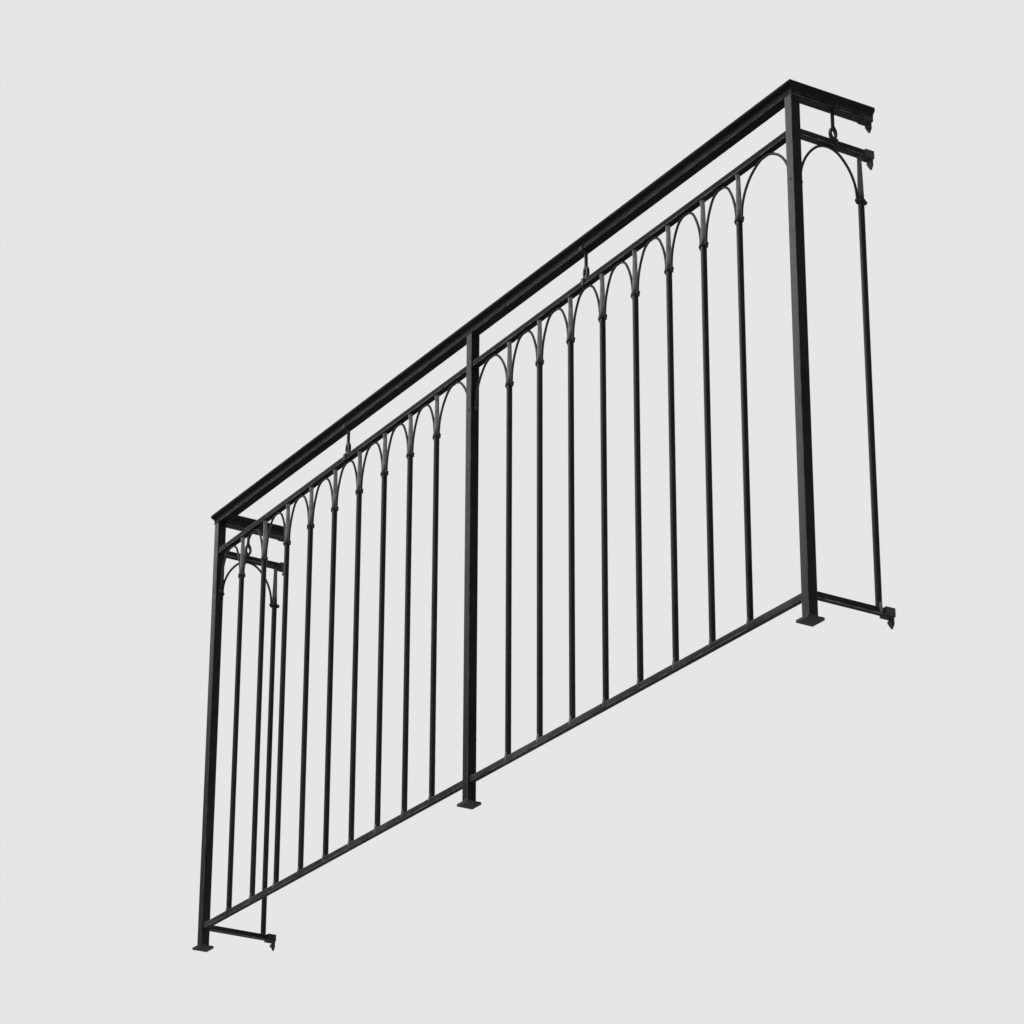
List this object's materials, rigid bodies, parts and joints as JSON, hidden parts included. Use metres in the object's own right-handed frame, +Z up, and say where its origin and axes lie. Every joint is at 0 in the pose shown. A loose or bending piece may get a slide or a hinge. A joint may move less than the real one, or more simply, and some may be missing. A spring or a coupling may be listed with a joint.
{
  "type": "iron balcony railing",
  "caption": "Black painted iron balcony railing with a moulded handrail, round balusters, a row of collared hoops under an upper rail, and short returns that end at the wall.",
  "frame": {"origin": "centre of the underside of the middle post's base plate", "axes": "+X along the front to the right as seen from outside, +Y towards the wall, +Z up"},
  "size_m": [2.303, 0.1935, 1.056],
  "materials": {
    "frame_black": "satin black paint, worn grey on the edges",
    "handrail_black": "satin black paint, dusty in the coves",
    "rail_black": "satin black paint, thin on the arrises",
    "bar_black": "satin black paint over drawn bars",
    "forged_black": "satin black paint over forged rod",
    "lug_black": "satin black paint with a little rust at the nuts"
  },
  "bodies": {
    "root": {"mid_base_plate": "frame_black", "left_base_plate": "frame_black", "right_base_plate": "frame_black", "left_corner_post": "frame_black", "mid_post": "frame_black", "right_corner_post": "frame_black", "front_handrail_cap": "handrail_black", "left_handrail_cap": "handrail_black", "right_handrail_cap": "handrail_black", "front_left_under_bar": "rail_black", "front_right_under_bar": "rail_black", "left_under_bar": "rail_black", "right_under_bar": "rail_black", "front_left_arch_rail": "rail_black", "front_right_arch_rail": "rail_black", "left_arch_rail": "rail_black", "right_arch_rail": "rail_black", "front_left_bottom_rail": "rail_black", "front_right_bottom_rail": "rail_black", "left_bottom_rail": "rail_black", "right_bottom_rail": "rail_black", "front_left_balusters": "bar_black", "front_right_balusters": "bar_black", "left_baluster": "bar_black", "right_baluster": "bar_black", "front_left_hoops": "forged_black", "front_right_hoops": "forged_black", "left_hoop": "forged_black", "right_hoop": "forged_black", "front_left_collars": "forged_black", "front_right_collars": "forged_black", "left_collars": "forged_black", "right_collars": "forged_black", "front_left_spindle": "forged_black", "front_right_spindle": "forged_black", "left_spindle": "forged_black", "right_spindle": "forged_black", "left_handrail_lug": "lug_black", "right_handrail_lug": "lug_black", "left_arch_rail_lug": "lug_black", "right_arch_rail_lug": "lug_black", "left_bottom_rail_lug": "lug_black", "right_bottom_rail_lug": "lug_black"}
  },
  "joints": []
}
